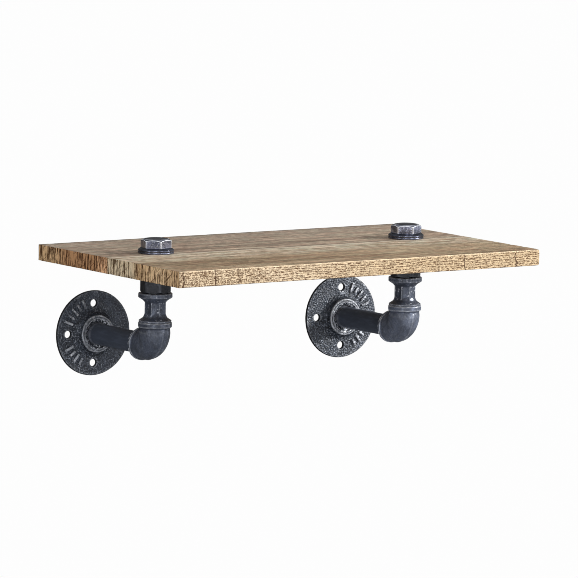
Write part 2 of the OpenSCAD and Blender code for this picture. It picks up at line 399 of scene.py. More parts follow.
def cast_metal(name, base, worn_and_glint_colour, pebble, pebble_depth, grit, cloud, roughness, wear, right_sheen=1.0):
    """Black-coated cast iron: pebbled skin with painted glints on its grains and painted shade in its pits,
    and bare metal where edges have rubbed, with the painted glints and painted shade that pieces put in their
    edge layer.

    grit is how strongly the grains' painted glints and the pits' painted shade show, cloud how strongly the
    coat varies from place to place, wear how bare the rubbed edges are, and the last argument how much
    lighter the right bracket is painted, as painted sheen."""
    shader = Shader(name)
    patches = shader.noise(55.0, 4.0, 0.6)
    smears = shader.noise((150.0, 150.0, 90.0), 4.0, 0.65)
    grains = shader.noise(pebble, 2.0, 0.55)
    coarse = shader.noise(pebble * 0.4, 2.0, 0.5)
    lumps = shader.cells(pebble * 0.8)
    skin_height = shader.total((0.6, grains), (0.25, coarse), (-0.4, lumps), (0.3, 1.0))
    edge = shader.attribute("edge")
    worn_through = shader.total((0.30, 1.0), (0.4, shader.between(patches, 0.50, 0.62)),
                                (0.4, shader.between(coarse, 0.50, 0.60)))
    # Worn edges, and the painted glints that pieces put in their edge layer
    wear_and_glint = shader.times(edge, worn_through, clamp=True)
    colour = shader.mix(shader.between(smears, 0.38, 0.66), scaled_colour(base, 1.0 - 0.4 * cloud),
                        scaled_colour(base, 1.0 + cloud))
    rougher = shader.between(shader.split(shader.where)[2], 15 * MM, -20 * MM, 1.0, 1.7)
    shows = shader.times(shader.between(patches, 0.35, 0.60, 0.5 * grit, grit), rougher)
    # Painted shade in the pits and painted glints on the grains, where the pebbling shows
    pit_shade = shader.times(shader.between(grains, 0.54, 0.44), shows)
    lit = shader.times(shader.between(grains, 0.56, 0.66), shows)
    colour = shader.mix(pit_shade, colour, scaled_colour(base, 0.25))
    colour = shader.mix(shader.times(lit, 0.24), colour, worn_and_glint_colour)
    colour = shader.mix(shader.times(wear_and_glint, wear, clamp=True), colour, worn_and_glint_colour)
    # Painted shade where a piece sets its edge layer below 0: the flange's outer rim and its screw holes
    colour = shader.mix(shader.between(edge, -0.2, -0.9), colour, scaled_colour(base, 0.12))
    # Painted light: the right bracket's metal lighter, as its sheen
    sheen_to_right = shader.between(shader.split(shader.where)[0], -50 * MM, 50 * MM)
    colour = shader.mix(sheen_to_right, colour, shader.tinted(colour, right_sheen, right_sheen, right_sheen))
    gloss = shader.between(smears, 0.3, 0.7, roughness + 0.08, roughness - 0.08)
    shader.set(Base_Color=colour, Roughness=gloss, Metallic=0.3, Specular_IOR_Level=0.5,
               Normal=shader.bump(skin_height, pebble_depth))
    return shader.material


def coated_pipe(name, base):
    """Drawn pipe under a thin matt coat: faint rings from drawing and a few scuffs."""
    shader = Shader(name)
    rings = shader.noise((60.0, 500.0, 60.0), 3.0, 0.5)
    scuffs = shader.noise((240.0, 38.0, 240.0), 5.0, 0.7)
    grit = shader.noise(1500.0, 3.0, 0.6)
    colour = shader.mix(shader.between(scuffs, 0.45, 0.75, 0.0, 0.8), base, scaled_colour(base, 1.7))
    colour = shader.mix(shader.times(shader.attribute("edge"), 0.8), colour, srgb(150, 152, 160))
    height = shader.total((0.4, rings), (0.6, grit))
    shader.set(Base_Color=colour, Roughness=shader.between(scuffs, 0.3, 0.7, 0.62, 0.48),
               Metallic=0.1, Specular_IOR_Level=0.35, Normal=shader.bump(height, 0.12 * MM, 0.6))
    return shader.material


def plated_steel(name, base, worn_and_glint_colour):
    """Dark-plated steel: cloudy satin flats with fine scratches, and bright rubbed corners that also stand as
    painted highlight lines; painted shade where a piece sets its edge layer below 0.
    """
    shader = Shader(name)
    cloud = shader.noise(170.0, 4.0, 0.6)
    scratch = shader.noise((300.0, 300.0, 1700.0), 4.0, 0.7)
    grit = shader.noise(1100.0, 3.0, 0.6)
    colour = shader.mix(shader.between(cloud, 0.38, 0.62), scaled_colour(base, 0.5), scaled_colour(base, 1.3))
    colour = shader.mix(shader.between(grit, 0.56, 0.68, 0.0, 0.45), colour, worn_and_glint_colour)
    edge = shader.attribute("edge")
    # Painted shade where a piece sets its edge layer below 0: the plug's collar and crown, and the washers
    colour = shader.mix(shader.between(edge, 0.0, -1.0), colour, scaled_colour(base, 0.12))
    # Worn corners, bright along the hexagon's corners, which also stand as painted highlight lines
    wear_and_glint = shader.times(edge, shader.between(cloud, 0.25, 0.55, 0.6, 1.0), clamp=True)
    colour = shader.mix(shader.times(wear_and_glint, 1.6, clamp=True), colour, worn_and_glint_colour)
    height = shader.total((0.4, scratch), (0.6, grit))
    satin = shader.between(cloud, 0.3, 0.7, 0.24, 0.13)
    shader.set(Base_Color=colour, Roughness=shader.total((1.0, satin), (0.25, wear_and_glint)),
               Metallic=shader.total((0.85, 1.0), (-0.6, wear_and_glint)), Normal=shader.bump(height, 0.12 * MM, 0.6))
    return shader.material


# ---------------------------------------------------------------- mesh building

def rounded_path(corners, step, closed=True):
    """Points along a path of corners (r, s, radius[, step]), each corner rounded to its radius.

    A corner's own step spaces the points on the run that follows it."""
    count = len(corners)
    points = []
    for i, corner in enumerate(corners):
        here = np.array(corner[:2], float)
        radius = corner[2]
        at_end = not closed and i in (0, count - 1)
        if radius > 0 and not at_end:
            before = np.array(corners[i - 1][:2], float) - here
            after = np.array(corners[(i + 1) % count][:2], float) - here
            before /= np.linalg.norm(before)
            after /= np.linalg.norm(after)
            half = math.acos(np.clip(before @ after, -1, 1)) / 2
            middle = here + (before + after) / np.linalg.norm(before + after) * radius / math.sin(half)
            start = here + before * radius / math.tan(half)
            end = here + after * radius / math.tan(half)
            sweep = math.pi - 2 * half
            pieces = max(2, math.ceil(sweep / 0.28))
            for k in range(pieces + 1):
                share = k / pieces
                blend = (math.sin((1 - share) * sweep) * (start - middle)
                         + math.sin(share * sweep) * (end - middle)) / math.sin(sweep)
                points.append((*(middle + blend), None))
        else:
            points.append((*here, None))
        run = corner[3] if len(corner) > 3 else step
        points[-1] = (*points[-1][:2], run)
    filled = []
    last = len(points) if closed else len(points) - 1
    for i in range(last):
        first, second = np.array(points[i][:2]), np.array(points[(i + 1) % len(points)][:2])
        spacing = points[i][2]
        pieces = 1 if spacing is None else max(1, math.ceil(np.linalg.norm(second - first) / spacing))
        filled += [first + (second - first) * k / pieces for k in range(pieces)]
    if not closed:
        filled.append(np.array(points[-1][:2]))
    return np.array(filled)


def straight(r, s, phi):
    """Turned piece: radius r at height s, in millimetres, on the Z axis."""
    return np.stack([r * np.cos(phi), r * np.sin(phi), s], -1)


def skin(path, segments, shape=None, place=straight, closed=True, start=0.0):
    """Bmesh of a path of (r, s) carried round phi. shape(r, s, phi) may change the radius."""
    phi = start + np.arange(segments)[None, :] * TURN / segments
    r = np.repeat(path[:, :1], segments, 1)
    s = np.repeat(path[:, 1:], segments, 1)
    phi = np.repeat(phi, len(path), 0)
    if shape is not None:
        r = shape(r, s, phi)
    points = place(r, s, phi) * MM
    mesh = bmesh.new()
    rows = [[mesh.verts.new(p) for p in row] for row in points]
    if closed:
        rows.append(rows[0])
    for lower, upper in zip(rows, rows[1:]):
        for i in range(segments):
            j = (i + 1) % segments
            mesh.faces.new((lower[i], lower[j], upper[j], upper[i]))
    bmesh.ops.remove_doubles(mesh, verts=mesh.verts, dist=0.002 * MM)
    bmesh.ops.recalc_face_normals(mesh, faces=mesh.faces)
    return mesh


def finish_piece(name, mesh, materials, node, sharp=40):
    """Makes the piece from a bmesh, hands it its materials, and puts it in place of its CAD node."""
    mesh.normal_update()
    data = bpy.data.meshes.new(name)
    mesh.to_mesh(data)
    mesh.free()
    for material in materials:
        data.materials.append(material)
    data.shade_smooth()
    data.set_sharp_from_angle(angle=math.radians(sharp))
    piece = add_object(name, data)
    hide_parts(node)
    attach(piece, BODY_OF[node])


def mark_edges(mesh, gain, reach=1):
    """Stores in "edge" how convex the surface is at each vertex, from 0 to 1, spread over reach neighbours.

    It returns that layer, as a piece may change it: above 1 the metal is barer, where pieces also set painted
    glints; below 0 the coat darker, as painted shade."""
    mesh.normal_update()
    layer = mesh.verts.layers.float.new("edge")
    values = {}
    for vertex in mesh.verts:
        bend = 0.0
        for link in vertex.link_edges:
            other = link.other_vert(vertex)
            away = other.co - vertex.co
            bend += -vertex.normal.dot(away) / max(away.length_squared, 1e-12)
        values[vertex] = min(1.0, max(0.0, bend / max(len(vertex.link_edges), 1) * gain * MM))
    for _ in range(reach):
        spread_out = {}
        for vertex, value in values.items():
            around = [values[edge.other_vert(vertex)] for edge in vertex.link_edges]
            spread_out[vertex] = 0.5 * value + 0.5 * max(around or [0.0])
        values = spread_out
    for vertex, value in values.items():
        vertex[layer] = value
    return layer


def roughen(mesh, depth, size, seed):
    """Sinks each vertex by up to depth, in lumps about size across."""
    mesh.normal_update()
    shift = Vector((seed * 3.1, seed * 7.7, seed * 1.3))
    moved = [
        vertex.co - vertex.normal * depth * (0.5 + 0.5 * noise.noise(vertex.co / size + shift))
        for vertex in mesh.verts
    ]
    for vertex, place in zip(mesh.verts, moved):
        vertex.co = place


def wear_and_glint_spots(point, size, gain, offset, most):
    """How bare the metal is at a point, from 0 to most, in spots about size millimetres across: spots of worn
    metal that also stand as painted glints.
    """
    return max(0.0, min(most, gain * noise.noise(point / (size * MM)) + offset))


def shift_mesh(mesh, offset):
    bmesh.ops.translate(mesh, verts=mesh.verts, vec=offset)


def stand_upright(mesh, side, height):
    """Moves a piece built on the Z axis onto its bracket's upright, with its zero at the given height."""
    upright = centre(f"{side}_washer")
    shift_mesh(mesh, (upright.x, upright.y, height))


def cut(mesh, tools, operation="DIFFERENCE"):
    """The bmesh after a Boolean with each of the tool bmeshes."""
    base = bpy.data.meshes.new("base")
    mesh.to_mesh(base)
    mesh.free()
    target = add_object("base", base)
    helpers = []
    for tool in tools:
        data = bpy.data.meshes.new("tool")
        tool.to_mesh(data)
        tool.free()
        helper = add_object("tool", data)
        modifier = target.modifiers.new("cut", "BOOLEAN")
        modifier.operation = operation
        modifier.solver = "EXACT"
        modifier.object = helper
        helpers.append(helper)
    shaped = target.evaluated_get(bpy.context.evaluated_depsgraph_get())
    result = bmesh.new()
    result.from_mesh(shaped.to_mesh())
    shaped.to_mesh_clear()
    for extra in [target, *helpers]:
        data = extra.data
        bpy.data.objects.remove(extra)
        bpy.data.meshes.remove(data)
    return result


def face_wall(mesh):
    """Turns a piece built along +Z so that it stands out from the wall, along -Y."""
    for vertex in mesh.verts:
        x, y, z = vertex.co
        vertex.co = (x, -z, y)
    bmesh.ops.recalc_face_normals(mesh, faces=mesh.faces)


def on_circle(radius, angle):
    """x and y in metres of a point on a circle round the axis, whose radius is in millimetres."""
    return radius * math.cos(angle) * MM, radius * math.sin(angle) * MM


def polygon_radius(phi, flats, sides, turn):
    """Distance from the axis to a regular polygon, given across its flats, with a corner at turn."""
    part = TURN / sides
    off = np.mod(phi - turn, part) - part / 2
    return flats / 2 / np.cos(off)


def soft_min(first, second, width):
    blend = np.clip(0.5 + 0.5 * (second - first) / width, 0, 1)
    return second * (1 - blend) + first * blend - width * blend * (1 - blend)


def soft_max(first, second, width):
    return -soft_min(-first, -second, width)


def thread(r, s, phi, low, high, pitch, depth, fade, least):
    """Cuts a screw thread into radii larger than least, between low and high, fading out over fade."""
    wave = np.abs(2 * np.mod(s / pitch - phi / TURN, 1) - 1)
    groove = np.clip(wave * 1.35 - 0.1, 0, 1)
    inside = np.clip((s - low) / fade, 0, 1) * np.clip((high - s) / fade, 0, 1)
    return np.where(r > least, r - depth * groove * inside, r)


# ---------------------------------------------------------------- the board

CLAMP_HOLE_R = 9.0
NEAR_ENDS = np.array([0.0, 0.15, 0.4, 0.8, 1.4, 2.2])

# The front plank's right corner is worn rounder than the rest: by how much, and how far from the corner
CORNER_WEAR = 1.6
CORNER_REACH = 6.0


def spread(half, step):
    """Positions from -half to half, about step apart, and closer together near both ends."""
    inner = np.arange(-half + NEAR_ENDS[-1] + step, half - NEAR_ENDS[-1] - step / 2, step)
    return np.concatenate([-half + NEAR_ENDS, inner, (half - NEAR_ENDS)[::-1]])


def plank(node, name, materials, seam_side, holes):
    """A plank as a fine grid, with worn corners, shallow grain relief and its drilled holes.

    materials are those of its faces, its ends and its long edge. seam_side is -1 where the glued edge
    is the plank's front, and 1 where it is its back."""
    low, high = (np.array(corner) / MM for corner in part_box(node))
    middle, half = (low + high) / 2, (high - low) / 2
    lines = [spread(half[0], 2.6), spread(half[1], 1.3), spread(half[2], 1.3)]
    mesh = bmesh.new()
    for axis in range(3):
        others = [a for a in range(3) if a != axis]
        for side in (-1, 1):
            rows = []
            for a in lines[others[0]]:
                row = []
                for b in lines[others[1]]:
                    point = np.zeros(3)
                    point[axis] = side * half[axis]
                    point[others[0]], point[others[1]] = a, b
                    row.append(mesh.verts.new(worn_point(point, half, middle, seam_side)))
                rows.append(row)
            for first, second in zip(rows, rows[1:]):
                for i in range(len(first) - 1):
                    mesh.faces.new((first[i], first[i + 1], second[i + 1], second[i]))
    bmesh.ops.remove_doubles(mesh, verts=mesh.verts, dist=0.001 * MM)
    bmesh.ops.recalc_face_normals(mesh, faces=mesh.faces)
    if holes:
        tools = []
        end = half[2] + 2
        outline = np.array([[0, -end], [CLAMP_HOLE_R, -end], [CLAMP_HOLE_R, end], [0, end]])
        for hole in holes:
            tool = skin(outline, 48, closed=False)
            shift_mesh(tool, (hole.x, hole.y, middle[2] * MM))
            tools.append(tool)
        mesh = cut(mesh, tools)
    mesh.normal_update()
    for face in mesh.faces:
        pull = [abs(part) for part in face.normal]
        face.material_index = (1, 2, 0)[pull.index(max(pull))]
    finish_piece(name, mesh, materials, node, sharp=60)


def worn_point(point, half, middle, seam_side):
    """A point of the plank's box, moved in to the worn corner and down by the grain relief; metres."""
    place = point + middle
    shift = Vector(place / 9.0)
    chips = max(0.0, noise.noise(Vector((place[0] / 5.5, place[1] / 5.5, place[2] / 5.5))) - 0.18)
    radius = 0.55 + 0.25 * noise.noise(shift) + 2.4 * chips
    if seam_side > 0:
        from_corner = math.hypot(half[0] - point[0], half[1] + point[1])
        radius += CORNER_WEAR * max(0.0, 1.0 - from_corner / CORNER_REACH)
    from_seam = half[1] - seam_side * point[1]
    radius = 0.10 + (radius - 0.10) * min(1.0, from_seam / 4)
    inner = np.clip(point, -(half - radius), half - radius)
    out = point - inner
    length = np.linalg.norm(out)
    relief = 0.10 * (0.5 + 0.5 * noise.noise(Vector((place[0] / 60, place[1] / 3.2, place[2] / 9))))
    if length > 0:
        out = out / length * max(0.0, radius - relief)
    return Vector((inner + out + middle) * MM)


# ---------------------------------------------------------------- the brackets

FLANGE_PLATE = 3.0
HUB_R = 17.5
HUB_FLARE = 6.5
MOUTH_R = 14.2
MOUTH_DEPTH = 2.6
PIPE_R = 10.0
SOCKET_R = PIPE_R + 0.05
BOLT_CIRCLE_R = 28.0
BOLT_HOLE_R = 3.5


def flange(side):
    """Wall plate with a threaded hub, four screw holes and short cast bars between them."""
    node = f"{side}_floor_flange"
    low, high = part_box(node)
    radius = (high.z - low.z) / 2 / MM
    height = (high.y - low.y) / MM
    path = rounded_path([
        (SOCKET_R, 0, 0.3), (radius, 0, 0.5), (radius, FLANGE_PLATE - 0.4, 0.9),
        (HUB_R + 0.2, FLANGE_PLATE + 0.15, HUB_FLARE), (HUB_R, height, 1.1), (MOUTH_R, height, 0.5, 0.2),
        (SOCKET_R, height - MOUTH_DEPTH, 0.3, 0.25),
    ], 0.9)

    def mouth_thread(r, s, phi):
        ridges = np.abs(2 * np.mod(s / PIPE_PITCH - phi / TURN, 1) - 1)
        inside = (r < MOUTH_R - 0.6) & (s > height - MOUTH_DEPTH - 3) & (s < height - 0.3)
        return np.where(inside, r + 1.2 * (1 - ridges), r)

    mesh = skin(path, 360, mouth_thread)
    roughen(mesh, 0.16 * MM, 1.5 * MM, 3 if side == "left" else 11)
    tools = []
    screw_spots = []
    for i in range(4):
        screw_spots.append(on_circle(BOLT_CIRCLE_R, TURN * i / 4))
        tool = skin(np.array([[0, -2], [BOLT_HOLE_R, -2], [BOLT_HOLE_R, FLANGE_PLATE - 0.8],
                              [BOLT_HOLE_R + 1.2, FLANGE_PLATE + 0.4], [BOLT_HOLE_R + 1.2, FLANGE_PLATE + 2],
                              [0, FLANGE_PLATE + 2]]), 48, closed=False)
        shift_mesh(tool, (*screw_spots[-1], 0))
        tools.append(tool)
    mesh = cut(mesh, tools)
    mesh = cut(mesh, cast_bars(side), "UNION")
    wear_and_painted_light = mark_edges(mesh, 2.2)
    for vertex in mesh.verts:
        off_axis, rise = math.hypot(vertex.co.x, vertex.co.y) / MM, vertex.co.z / MM
        # Painted glints on the thread ridges in the mouth, which also stand for worn bare thread
        if off_axis < MOUTH_R and height - MOUTH_DEPTH < rise < height:
            vertex[wear_and_painted_light] = wear_and_glint_spots(vertex.co, 1.8, 12.0, -0.4, 3.0)
        elif off_axis < HUB_R + 0.3 and rise > height - 1.6:
            vertex[wear_and_painted_light] *= 1.8
        # Painted shade: a dark outline on the plate's outer rim, with less wear just inside it
        elif off_axis > radius - 1.5:
            vertex[wear_and_painted_light] = -1.0 if off_axis > radius - 0.6 else 0.5 * vertex[wear_and_painted_light]
        # Painted shade on the walls of the screw holes
        elif any(math.dist(vertex.co[:2], spot) < (BOLT_HOLE_R + 0.4) * MM for spot in screw_spots):
            vertex[wear_and_painted_light] = -1.0
    face_wall(mesh)
    shift_mesh(mesh, (centre(node).x, high.y, centre(node).z))
    finish_piece(f"{side}_flange_casting", mesh, [MATERIALS["flange"]], node, sharp=50)


# Each row of cast bars: the angle of its first bar in degrees, and how many bars it has
BAR_ROWS = ((113, 5), (206, 4))
BAR_STEP = 11.5
BAR_LENGTHS = (8.6, 6.4)
BAR_WIDTH = 2.0
BAR_HEIGHT = 3.6
BAR_CIRCLE_R = BOLT_CIRCLE_R + 1.5


def cast_bars(side):
    """Two rows of plain raised bars, standing in the gaps between the screw holes."""
    bars = []
    for start, count in BAR_ROWS:
        for i in range(count):
            angle = math.radians(start + i * BAR_STEP)
            bar = bmesh.new()
            bmesh.ops.create_cube(bar, size=1.0)
            length = BAR_LENGTHS[i % 2]
            bmesh.ops.scale(bar, verts=bar.verts, vec=(length * MM, BAR_WIDTH * MM, BAR_HEIGHT * MM))
            bmesh.ops.bevel(bar, geom=bar.edges, offset=0.3 * MM, segments=2, affect="EDGES", profile=0.6)
            bmesh.ops.rotate(bar, verts=bar.verts, matrix=Quaternion((0, 0, 1), angle).to_matrix())
            shift_mesh(bar, (*on_circle(BAR_CIRCLE_R, angle), FLANGE_PLATE * MM - 0.25 * MM))
            if side == "right":
                bmesh.ops.scale(bar, verts=bar.verts, vec=(-1, 1, 1))
                bmesh.ops.reverse_faces(bar, faces=bar.faces)
            bars.append(bar)
    return bars


def nipple(side):
    """Pipe with a screw thread cut at both ends."""
    node = f"{side}_nipple"
    low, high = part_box(node)
    wall, tip = -high.y / MM, -low.y / MM
    threaded = 11.5
    bore = 7.5
    path = rounded_path([
        (bore, wall, 0.2), (PIPE_R, wall, 0.5, 0.16), (PIPE_R, wall + threaded + 1, 0),
        (PIPE_R, tip - 12, 0, 0.16), (PIPE_R, tip, 0.5), (bore, tip, 0.2),
    ], 2.5)

    def threads(r, s, phi):
        r = thread(r, s, phi, wall + 0.5, wall + threaded, PIPE_PITCH, 0.85, 1.5, 9)
        return thread(r, s, phi, tip - 10.5, tip - 0.5, PIPE_PITCH, 0.85, 1.5, 9)

    mesh = skin(path, 128, threads)
    mark_edges(mesh, 0.9, 0)
    face_wall(mesh)
    shift_mesh(mesh, (centre(node).x, 0, centre(node).z))
    finish_piece(f"{side}_pipe", mesh, [MATERIALS["pipe"]], node)


ELBOW_R = 14.4
BEND_R = 14.7
BAND_R = 15.6
REAR_BAND_R = 15.5
BAND = 4.5
REAR_BAND = 3.0
ELBOW_REACH = 22.5


def elbow(side):
    """Cast elbow: a heavy band above, a thin one behind, and a parting line round the bend."""
    node = f"{side}_elbow"
    arm = ELBOW_REACH - BEND_R
    whole = 2 * arm + BEND_R * math.pi / 2
    path = rounded_path([
        (SOCKET_R + 0.5, 0, 0.2), (BAND_R, 0, 0.9, 0.4), (BAND_R, BAND, 1.1, 0.4),
        (ELBOW_R - 0.6, BAND + 1.3, 1.4), (ELBOW_R, BAND + 5, 3),
        (ELBOW_R, whole - REAR_BAND - 0.9, 0.9, 0.4),
        (REAR_BAND_R, whole - REAR_BAND, 0.7, 0.4), (REAR_BAND_R, whole, 0.9, 0.4),
        (SOCKET_R + 0.5, whole, 0.2), (SOCKET_R, whole - 9, 0.3), (8, whole - 10, 0.5),
        (8, 10, 0.5), (SOCKET_R, 9, 0.3),
    ], 0.9)

    def bent(r, s, phi):
        """Carries the path down the upper arm, round the bend and back along the rear arm."""
        turn = np.clip((s - arm) / BEND_R, 0, math.pi / 2)
        down = np.clip(s, None, arm)
        back = np.clip(s - arm - BEND_R * math.pi / 2, 0, None)
        y = BEND_R - BEND_R * np.cos(turn) + back
        z = np.where(s < arm, ELBOW_REACH - down, BEND_R - BEND_R * np.sin(turn))
        side_x, side_v = r * np.cos(phi), r * np.sin(phi)
        return np.stack([side_x, y + side_v * np.cos(turn), z + side_v * np.sin(turn)], -1)

    def seam(r, s, phi):
        off = np.abs(np.abs(np.mod(phi, TURN) - math.pi) - math.pi / 2) * r
        ridge = 0.22 * np.exp(-(off / 0.6) ** 2)
        body = np.clip((s - BAND - 1) / 2, 0, 1) * np.clip((whole - REAR_BAND - 1 - s) / 2, 0, 1)
        return np.where(r > SOCKET_R + 1, r + ridge * body, r)

    mesh = skin(path, 144, seam, bent)
    roughen(mesh, 0.14 * MM, 3.2 * MM, 5 if side == "left" else 9)
    wear_and_painted_light = mark_edges(mesh, 1.6)
    # Painted glints on the rear band, set as spots of bare metal
    for vertex in mesh.verts:
        off_axis = math.hypot(vertex.co.x, vertex.co.z)
        if vertex.co.y > (ELBOW_REACH - 1.4) * MM and off_axis > (REAR_BAND_R - 1.4) * MM:
            vertex[wear_and_painted_light] = wear_and_glint_spots(vertex.co, 2.2, 10.0, 0.0, 2.5)
    stand_upright(mesh, side, centre(f"{side}_nipple").z)
    finish_piece(f"{side}_elbow_casting", mesh, [MATERIALS["elbow"]], node)


def adapter(side):
    """Waisted fitting: spigot into the elbow, eight flats round its neck, banded mouth on top."""
    node = f"{side}_adapter"
    low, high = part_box(node)
    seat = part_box(f"{side}_elbow")[1].z / MM
    top = high.z / MM - seat
    foot_r, neck_r, shoulder_r, band_r = 15.2, 9.55, 12.0, 15.8
    neck_low, neck_high, band_low = 7.0, top - 9.0, top - 4.2
    path = rounded_path([
        (6, low.z / MM - seat, 0.2), (PIPE_R - 0.6, low.z / MM - seat, 0.3, 0.3), (PIPE_R - 0.2, 0, 0.1),
        (foot_r - 0.3, 0, 0.3, 0.4), (foot_r, 1.5, 0.5, 0.4), (neck_r + 1.6, 4.2, 3.0, 0.4),
        (neck_r, neck_low + 1, 3.0), (neck_r, neck_high, 2.0, 0.4),
        (shoulder_r, top - 6.5, 0.6, 0.4), (band_r, band_low, 0.8),
        (band_r, top, 0.9, 0.4), (SOCKET_R + 0.6, top, 0.3), (SOCKET_R, top - 1, 0.2),
        (SOCKET_R, top - 6.3, 0.3), (6, top - 6.3, 0.3),
    ], 0.8)

    def flats(r, s, phi):
        eight = polygon_radius(phi, 2 * (neck_r + 0.05), 8, NECK_TURN)
        along = (s > 1.5) & (s < top - 6.4) & (r > 8)
        return np.where(along, soft_max(r, eight, 0.5), r)

    mesh = skin(path, 192, flats, start=NECK_TURN)
    roughen(mesh, 0.12 * MM, 2.6 * MM, 6 if side == "left" else 14)
    wear_and_painted_light = mark_edges(mesh, 1.6)
    # Painted glints across the outside above the seat, set as spots of bare metal
    for vertex in mesh.verts:
        if vertex.co.z > 0 and math.hypot(vertex.co.x, vertex.co.y) > (PIPE_R - 0.6) * MM:
            vertex[wear_and_painted_light] = min(2.0, vertex[wear_and_painted_light] + wear_and_glint_spots(vertex.co, 1.7, 7.0, -2.7, 5.0))
    stand_upright(mesh, side, seat * MM)
    finish_piece(f"{side}_adapter_casting", mesh, [MATERIALS["fitting"]], node)


HEX_FLATS = 25.5
HEX_CORNER = HEX_FLATS / math.sqrt(3)
SHANK_R = 8.0


def bushing(side):
    """Hexagon bushing with the collar that bears on the board from below."""
    node = f"{side}_bushing"
    low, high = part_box(node)
    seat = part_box(f"{side}_adapter")[1].z / MM
    top, tip = high.z / MM - seat, low.z / MM - seat
    collar_r = (high.x - low.x) / 2 / MM
    collar = 4.0
    path = rounded_path([
        (6, tip, 0.2), (PIPE_R - 0.6, tip, 0.3, 0.3), (PIPE_R - 0.2, 0, 0.1),
        (HEX_FLATS / 2 - 0.5, 0, 0.2, 0.25), (HEX_CORNER, 1.5, 0.3, 0.5),
        (HEX_CORNER, top - collar, 0, 0.3), (collar_r, top - collar, 0.5, 0.4),
        (collar_r, top, 0.4), (SHANK_R + 0.5, top, 0.3), (SHANK_R + 0.05, top - 1, 0.2),
        (SHANK_R + 0.05, 8, 0.3), (6, 7, 0.2),
    ], 0.8)

    def hexagon(r, s, phi):
        six = soft_min(polygon_radius(phi, HEX_FLATS, 6, HEX_TURN[side]), HEX_CORNER - 0.35, 0.5)
        along = (s > -0.01) & (s < top - collar + 0.05) & (r > PIPE_R)
        return np.where(along, soft_min(r, six, 0.25), r)

    mesh = skin(path, 192, hexagon, start=HEX_TURN[side])
    mark_edges(mesh, 1.4)
    stand_upright(mesh, side, seat * MM)
    finish_piece(f"{side}_hex_bushing", mesh, [MATERIALS["bushing"]], node, sharp=30)


def washer(side):
    """Flat washer with rounded rims."""
    node = f"{side}_washer"
    low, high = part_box(node)
    radius, bottom, top = (high.x - low.x) / 2 / MM, low.z / MM, high.z / MM
    path = rounded_path([
        (SHANK_R + 0.3, bottom, 0.2), (radius, bottom, 0.35), (radius, top, 0.7), (SHANK_R + 0.3, top, 0.2),
    ], 1.0)
    mesh = skin(path, 160)
    wear_and_painted_shade = mark_edges(mesh, 0.5, 0)
    # Painted shade: the whole washer darkened
    for vertex in mesh.verts:
        vertex[wear_and_painted_shade] -= 0.5
    stand_upright(mesh, side, 0)
    finish_piece(f"{side}_flat_washer", mesh, [MATERIALS["plug"]], node)


def plug(side):
    """Flanged hexagon plug with a screw thread down its shank."""
    node = f"{side}_plug"
    low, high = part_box(node)
    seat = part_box(f"{side}_washer")[1].z / MM
    top, tip = high.z / MM - seat, low.z / MM - seat
    collar_r = (high.x - low.x) / 2 / MM
    collar, rim = 3.2, 1.6
    crown_r = HEX_FLATS / 2 - 1.4
    path = rounded_path([
        (0, tip, 0), (SHANK_R - 1.2, tip, 0.3), (SHANK_R, tip + 1.3, 0.4, 0.18), (SHANK_R, -1.2, 0),
        (SHANK_R, 0, 0.2), (collar_r, 0, 0.45, 0.4), (collar_r, rim, 0.6, 0.4),
        (HEX_CORNER + 0.5, collar - 0.4, 0.5, 0.2), (HEX_CORNER, collar + 0.7, 0.2, 0.5),
        (HEX_CORNER, top - 2.4, 0.6, 0.18), (crown_r, top - 0.7, 0.8, 0.3),
        (crown_r - 3, top - 0.15, 1.5), (0, top, 0),
    ], 0.7, closed=False)

    def shape(r, s, phi):
        six = soft_min(polygon_radius(phi, HEX_FLATS, 6, HEX_TURN[side]), HEX_CORNER - 0.25, 0.3)
        blend = np.clip((s - collar + 0.6) / 1.0, 0, 1)
        r = np.where(s > collar - 0.6, r * (1 - blend) + soft_min(r, six, 0.3) * blend, r)
        return thread(r, s, phi, tip + 1, -2, PLUG_PITCH, 0.95, 1.2, SHANK_R - 0.6)

    mesh = skin(path, 240, shape, closed=False, start=HEX_TURN[side])
    wear_and_painted_shade = mark_edges(mesh, 2.0)
    # Painted shade: the collar and the crown's top darkened
    for vertex in mesh.verts:
        if vertex.co.z < (collar + 0.3) * MM or vertex.co.z > (top - 0.6) * MM:
            vertex[wear_and_painted_shade] = 0.5 * vertex[wear_and_painted_shade] - 0.8
    stand_upright(mesh, side, seat * MM)
    finish_piece(f"{side}_hex_plug", mesh, [MATERIALS["plug"]], node, sharp=30)


# ---------------------------------------------------------------- light and floor

def key_light():
    """Round soft light from the right front and above, turned towards the shelf's middle."""
    data = bpy.data.lights.new("key", "AREA")
    data.shape = "DISK"
    data.size = KEY_SIZE
    data.energy = KEY_POWER
    data.color = KEY_COLOUR
    lamp = add_object("key", data)
    lamp.location = SHELF_MIDDLE + KEY_DIRECTION.normalized() * KEY_DISTANCE
    lamp.rotation_mode = "QUATERNION"
    lamp.rotation_quaternion = KEY_DIRECTION.to_track_quat("Z", "Y")


